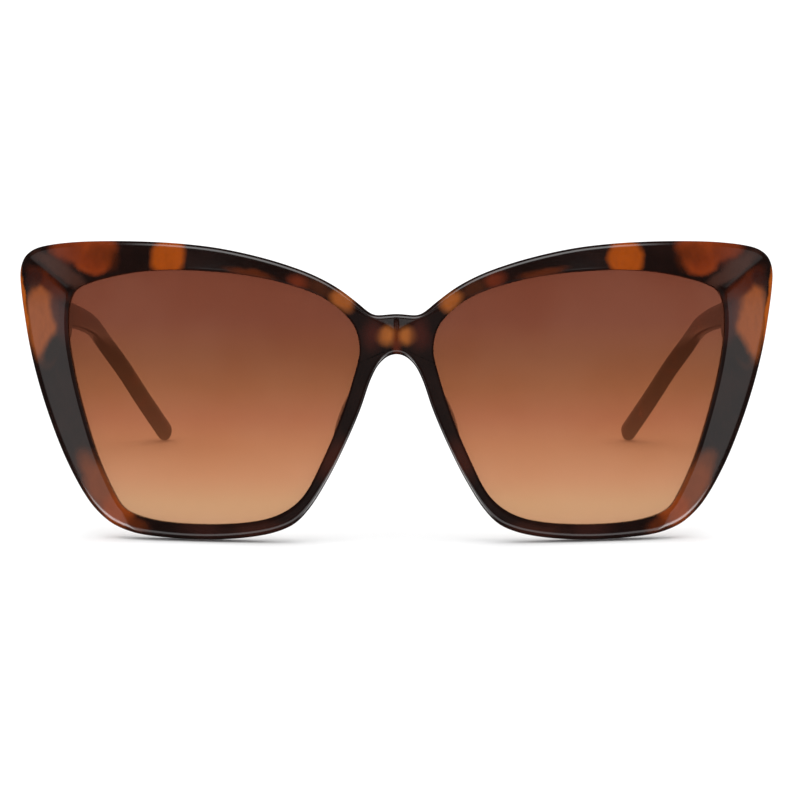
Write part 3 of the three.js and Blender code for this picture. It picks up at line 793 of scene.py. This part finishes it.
# Soft patches of the tortoise pattern on each half, and one painted highlight along the corner
# ridge:
# centre, radii, turn in degrees, edge softness, strength, colour.
PATTERN_AND_HIGHLIGHT_PATCHES = [
    ((62.2, 28.4), (6.4, 2.9), 0, 0.25, 1.0, 0x7E300A),
    ((60.2, 26.2), (3.7, 3.3), 20, 0.25, 1.0, 0x7E300A),
    ((60.6, 25.2), (2.6, 1.6), 30, 0.6, 0.8, 0x6A2506),
    ((58.8, 27.2), (2.4, 2.0), 0, 0.7, 0.7, 0x561E04),
    ((65.6, 27.6), (3.2, 2.8), 0, 0.6, 0.6, 0x561C06),
    # Painted highlight: a grey-brown band just above the corner ridge on the brow side, in place of
    # the ridge's reflection.
    ((66.4, 23.7), (6.8, 1.4), 34, 0.45, 1.0, 0x3A2018),
    ((56.6, 26.0), (1.6, 2.2), 0, 0.6, 0.5, 0x4A1A02),
    ((45.0, 26.2), (3.4, 3.8), 12, 0.25, 1.0, 0x903E02),
    ((28.5, 22.9), (4.2, 0.8), 12, 0.6, 0.7, 0x562208),
    ((19.2, 21.4), (1.9, 1.1), 22, 0.7, 0.9, 0x602410),
    ((15.0, 19.6), (2.6, 1.4), 28, 0.7, 0.7, 0x44200F),
    ((10.6, 17.4), (2.3, 1.7), 37, 0.5, 0.95, 0x8C4A1C),
    ((1.95, 10.6), (1.8, 1.6), 0, 0.6, 1.0, 0x93511E),
    ((4.6, 10.8), (1.8, 2.4), 0, 0.8, 0.7, 0x40160E),
    ((0.0, 9.6), (0.8, 2.6), 0, 0.8, 0.7, 0x5A2008),
    ((70.2, 14.0), (3.3, 8.6), -4, 0.22, 1.0, 0x84421A),
    ((68.0, 8.0), (4.8, 1.9), -58, 0.5, 1.0, 0x170A06),
    ((74.4, 15.4), (0.85, 9.6), -6, 0.3, 1.0, 0xA04C0E),
    ((66.9, 15.2), (1.3, 5.0), -14, 0.6, 0.9, 0x361410),
    ((69.2, 21.2), (4.6, 1.5), 40, 0.5, 1.0, 0x461604),
    ((72.2, 22.2), (1.5, 2.0), 30, 0.5, 0.9, 0x2C0E08),
    ((60.8, -14.8), (2.2, 3.2), -27, 0.5, 0.8, 0x5E2C10),
    ((58.4, -19.2), (2.9, 5.0), -29, 0.4, 0.95, 0x6C3212),
    ((55.0, -23.8), (3.4, 3.2), -50, 0.4, 1.0, 0x7E3408),
    ((51.6, -26.4), (2.4, 1.3), 18, 0.7, 0.7, 0x5A2408),
    ((38.0, -27.4), (3.6, 1.6), 3, 0.8, 0.5, 0x3A1A14),
    ((27.0, -27.6), (5.0, 1.5), -5, 0.8, 0.6, 0x3C1A10),
    ((12.8, -13.6), (1.6, 3.6), 28, 0.8, 0.6, 0x40180C),
]


def tortoise_material(name, seed, patches=()):
    n = Nodes(name)
    place = n.front_axes()
    shift = n.vector("ADD", place, (seed * 37.0, seed * 11.0, 0))
    wobble = n.vector("SUBTRACT", n.noise(shift, 0.22, 3, output=1), (0.5, 0.5, 0.5))
    loose = n.vector("ADD", place, n.vector("MULTIPLY", wobble, (1.8, 1.8, 1.8)))
    axes = n.add("ShaderNodeSeparateXYZ", {"Vector": loose})
    folded = n.add("ShaderNodeCombineXYZ", {
        "X": n.math("ABSOLUTE", axes.outputs[0]), "Z": axes.outputs[2]}).outputs[0]
    cloud = n.noise(shift, 0.16, 4, 0.6)
    colour = n.mix(n.smooth(cloud, 0.35, 0.75), srgb(0x110604), srgb(0x1C0C08))
    if patches:
        # The patches paint the tortoise pattern, and one of them paints a highlight along the
        # corner ridge.
        for centre, radii, turn, soft, strength, code in patches:
            local = n.add("ShaderNodeMapping", {
                "Vector": folded, "Location": (centre[0], 0, centre[1]),
                "Rotation": (0, math.radians(-turn), 0), "Scale": (radii[0], 1e3, radii[1]),
            }, vector_type="TEXTURE").outputs[0]
            mask = n.smooth(n.vector("LENGTH", local), 1 - soft, 1 + soft, (strength, 0))
            colour = n.mix(mask, colour, srgb(code))
    else:
        blotch = n.noise(shift, 0.075, 2, 0.55, 0.6)
        colour = n.mix(n.smooth(blotch, 0.50, 0.62, (0, 0.9)), colour, srgb(0x5A2A0C))
        colour = n.mix(n.smooth(blotch, 0.60, 0.70, (0, 0.9)), colour, srgb(0x94480E))
    streak = n.noise(n.vector("MULTIPLY", shift, (1.0, 1.0, 0.45)), 0.8, 4, 0.6)
    colour = n.mix(n.smooth(streak, 0.3, 0.8, (0.0, 0.16)), colour, srgb(0x1A0602))
    fine = n.noise(place, 2.2, 3)
    bump = n.add("ShaderNodeBump", {"Height": n.noise(place, 0.5, 2), "Strength": 0.02,
                                    "Distance": 0.0002})
    shader = n.add("ShaderNodeBsdfPrincipled", {
        "Base Color": colour, "Roughness": n.smooth(fine, 0.3, 0.7, (0.12, 0.17)),
        "Normal": bump.outputs[0], "IOR": 1.5})
    return n.finish(shader.outputs[0])


LENS_BODY = 0.17        # share of each face that is not clear
LENS_VEIL = 0.26        # share of the colour on a white ground that comes from the lens itself
GROUND = 1.24           # brightness of the floor behind
# Tint of the lens on a white ground, from the bottom to the top.
LENS_TINT = [
    (0.00, 0xD6A57E), (0.08, 0xCF9F77), (0.19, 0xC68B66), (0.31, 0xB87955), (0.42, 0xA76748),
    (0.54, 0x955B3C), (0.66, 0x865036), (0.80, 0x7C4634), (1.00, 0x784130),
]


def lens_material():
    n = Nodes("gradient_tint")
    place = n.front_axes()
    height = n.add("ShaderNodeSeparateXYZ", {"Vector": place}).outputs[2]
    ramp = n.add("ShaderNodeValToRGB", {
        "Fac": n.add("ShaderNodeMapRange", {
            "Value": height, "From Min": LENS_BOTTOM, "From Max": LENS_TOP}).outputs[0]})
    points = ramp.color_ramp.elements
    while len(points) < len(LENS_TINT):
        points.new(0.5)
    for point, (spot, code) in zip(points, LENS_TINT):
        point.position = spot
        clear_part = [part * (1 - LENS_VEIL) / GROUND for part in srgb(code)[:3]]
        point.color = [math.sqrt(part) / (1 - LENS_BODY) for part in clear_part] + [1.0]
    cloud = n.noise(place, 0.05, 2)
    tint = n.mix(n.smooth(cloud, 0.3, 0.7, (0, 0.04)), ramp.outputs[0], (1, 0.94, 0.88, 1))
    clear = n.add("ShaderNodeBsdfTransparent", {"Color": tint})
    gloss = n.add("ShaderNodeBsdfPrincipled", {
        "Base Color": n.mix(1.0, ramp.outputs[0], ramp.outputs[0], "MULTIPLY"), "IOR": 1.5,
        "Roughness": n.smooth(n.noise(place, 0.6, 2), 0.3, 0.7, (0.03, 0.06))})
    shader = n.add("ShaderNodeMixShader", {0: LENS_BODY})
    n.put(shader.inputs[1], clear.outputs[0])
    n.put(shader.inputs[2], gloss.outputs[0])
    return n.finish(shader.outputs[0])


def metal_material(name, base, stain, roughness, stretch):
    n = Nodes(name)
    place = n.front_axes()
    lines = n.noise(n.vector("MULTIPLY", place, stretch), 6.0, 4, 0.6)
    cloud = n.noise(place, 0.8, 3)
    bump = n.add("ShaderNodeBump", {"Height": lines, "Strength": 0.12, "Distance": 0.00004})
    shader = n.add("ShaderNodeBsdfPrincipled", {
        "Base Color": n.mix(n.smooth(cloud, 0.35, 0.75), srgb(base), srgb(stain)),
        "Metallic": 1.0, "Normal": bump.outputs[0],
        "Roughness": n.smooth(lines, 0.3, 0.7, (roughness, roughness + 0.12))})
    return n.finish(shader.outputs[0])


# ---- Stage -----------------------------------------------------------------------------------

def make_camera():
    data = bpy.data.cameras.new("camera")
    data.sensor_fit = "HORIZONTAL"
    data.sensor_width = SENSOR_WIDTH
    data.lens = data.sensor_width * -CAMERA_PLACE[1] / PICTURE_WIDTH
    camera = bpy.data.objects.new("camera", data)
    bpy.context.scene.collection.objects.link(camera)
    across, back, up = TURN @ (1, 0, 0), TURN @ (0, -1, 0), TURN @ (0, 0, 1)
    camera.matrix_world = Matrix.Translation(to_row([CAMERA_PLACE])[0]) @ Matrix(
        np.column_stack([across, up, back])).to_4x4()
    bpy.context.scene.camera = camera


def make_floor():
    n = Nodes("floor_white")
    place = n.add("ShaderNodeTexCoord").outputs["Object"]
    grain = n.noise(place, 3.0, 2)
    shader = n.add("ShaderNodeBsdfDiffuse", {
        "Color": n.mix(n.smooth(grain, 0.3, 0.7), (0.94, 0.94, 0.94, 1), (0.95, 0.95, 0.95, 1))})
    corner_signs = [(-1, -1), (1, -1), (1, 1), (-1, 1)]
    mesh = bpy.data.meshes.new("floor")
    mesh.from_pydata([(x * FLOOR_REACH, y * FLOOR_REACH, 0) for x, y in corner_signs],
                     [], [(0, 1, 2, 3)])
    mesh.materials.append(n.finish(shader.outputs[0]))
    floor = bpy.data.objects.new("floor", mesh)
    floor.location.z = -FLOOR_GAP
    floor.visible_glossy = False
    bpy.context.scene.collection.objects.link(floor)
    floor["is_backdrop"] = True


# Reflected surroundings. A place (u, v) is the slope, outwards and upwards, of a surface that
# mirrors it to a viewer straight in front. Each glow is a window in u and in v, as where it
# starts, is full, starts to fade and ends, and a strength.
ALL = (-9.0, -8.0, 8.0, 9.0)
GLOWS = [
    ((0.52, 0.60, 0.78, 0.88), (-0.60, -0.50, 0.085, 0.135), 0.8),      # beside
    ((0.43, 0.48, 0.60, 0.66), (0.30, 0.36, 0.46, 0.50), 0.5),          # over the corner
    ((-1.0, -0.9, 0.22, 0.36), (0.54, 0.60, 0.84, 0.94), 4.0),          # overhead strip
    ((0.11, 0.135, 0.19, 0.22), (0.27, 0.31, 0.38, 0.42), 1.0),         # on the bridge
    ((-1.0, -0.9, 0.30, 0.50), (-0.54, -0.48, -0.32, -0.26), 2.0),      # low, ahead
    ((0.30, 0.50, 0.88, 1.00), (-0.70, -0.62, -0.46, -0.38), 7.0),      # low, beside
    ((-1.0, -0.9, 0.10, 0.25), (-0.20, -0.12, 0.08, 0.16), 0.12),       # ahead
    (ALL, (2.2, 3.6, 8.0, 9.0), 0.6),                                   # overhead, behind
    ((2.4, 3.8, 8.0, 9.0), ALL, 0.5),                                   # beside, behind
]
GLOSSY_BASE = 0.04
BACK_GLOW = (3.5, 8.0, 0.65)     # slope where it starts and is full, strength
WHITE = 1.0
DIFFUSE_SKY = 1.22


def make_world():
    n = Nodes("scratch")
    bpy.data.materials.remove(n.material)
    world = bpy.data.worlds.new("studio")
    bpy.context.scene.world = world
    world.use_nodes = True
    n.tree = world.node_tree
    n.tree.nodes.clear()
    direction = n.add("ShaderNodeTexCoord").outputs["Generated"]
    turned = n.add("ShaderNodeMapping", {"Vector": direction, "Rotation": (LEAN, 0, 0)},
                   vector_type="NORMAL").outputs[0]
    x, y, z = n.add("ShaderNodeSeparateXYZ", {"Vector": turned}).outputs
    ahead = n.math("MAXIMUM", n.math("SUBTRACT", 1.0, y), 1e-4)
    u = n.math("DIVIDE", n.math("ABSOLUTE", x), ahead)
    v = n.math("DIVIDE", z, ahead)

    def window(value, start, full, fade, end):
        return n.math("MULTIPLY", n.smooth(value, start, full), n.smooth(value, fade, end, (1, 0)))
    slope = n.math("SQRT", n.math("ADD", n.math("MULTIPLY", u, u), n.math("MULTIPLY", v, v)))
    total = n.smooth(slope, *BACK_GLOW[:2], (GLOSSY_BASE, BACK_GLOW[2]))
    for across, up, strength in GLOWS:
        glow = n.math("MULTIPLY", window(u, *across), window(v, *up))
        total = n.math("MULTIPLY_ADD", glow, strength, total)
    path = n.add("ShaderNodeLightPath").outputs
    level = n.mix(path["Is Glossy Ray"], (DIFFUSE_SKY,) * 3 + (1,), total)
    level = n.mix(path["Is Camera Ray"], level, (WHITE,) * 3 + (1,))
    background = n.add("ShaderNodeBackground", {"Color": level})
    output = n.add("ShaderNodeOutputWorld")
    n.put(output.inputs["Surface"], background.outputs[0])
    world.cycles.sampling_method = "NONE"


def area_light(name, place, size, power):
    data = bpy.data.lights.new(name, "AREA")
    data.shape, data.size, data.size_y, data.energy = "RECTANGLE", *size, power
    lamp = bpy.data.objects.new(name, data)
    lamp.location = place
    lamp.rotation_euler = (-Vector(place)).to_track_quat("-Z", "Y").to_euler()
    lamp.visible_glossy = False
    bpy.context.scene.collection.objects.link(lamp)


def make_stage():
    bpy.context.scene.view_settings.view_transform = "Standard"
    make_camera()
    make_floor()
    make_world()
    area_light("overhead_softbox", (0.0, -0.3, 1.3), (1.6, 1.2), 3.0)


# ---- Assembly --------------------------------------------------------------------------------

def make_glasses():
    front_plastic = tortoise_material("tortoise_front", 0, PATTERN_AND_HIGHLIGHT_PATCHES)
    temple_plastic = tortoise_material("tortoise_temple", 1)
    tint = lens_material()
    nickel = metal_material("nickel_silver", 0xC9B88E, 0xB4A076, 0.24, (1.0, 1.0, 0.15))
    steel = metal_material("turned_steel", 0xC4C6C8, 0xAEB0B2, 0.22, (1.0, 1.0, 0.3))
    wire = metal_material("drawn_wire", 0xBFC1C4, 0xA4A6A8, 0.3, (1.0, 0.1, 1.0))

    dress(make_front(), "front_frame", front_plastic, ["front"])
    left = make_lens("lens_left"), make_nose_pad("pad_left"), make_temple("temple_bar_left")
    names = "lens_right", "pad_right", "temple_bar_right"
    right = [mirrored(piece, name) for piece, name in zip(left, names)]
    for name, (lens, pad, temple) in (("left", left), ("right", right)):
        arm = f"{name}_arm"
        dress(lens, "front_frame", tint, [f"{name}_lens"]).visible_diffuse = False
        dress(pad, "front_frame", front_plastic, [f"{name}_nose_pad"])
        dress(temple, arm, temple_plastic, [f"{name}_temple"])
        for leaf, body in (("front", "front_frame"), ("temple", arm)):
            node = f"{name}_{leaf}_hinge_leaf"
            dress(softened(node, f"{leaf}_leaf_{name}"), body, nickel, [node])
    for node, made in frame["nodes"].items():
        if not made.hide_render:
            made.data.materials.clear()
            made.data.materials.append(wire if node.endswith("core") else steel)


make_stage()
make_glasses()


def corners(bounds):
    return [[float(v) for v in corner] for corner in bounds]


{"cad": corners(cad_box), "visual": corners(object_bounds())}
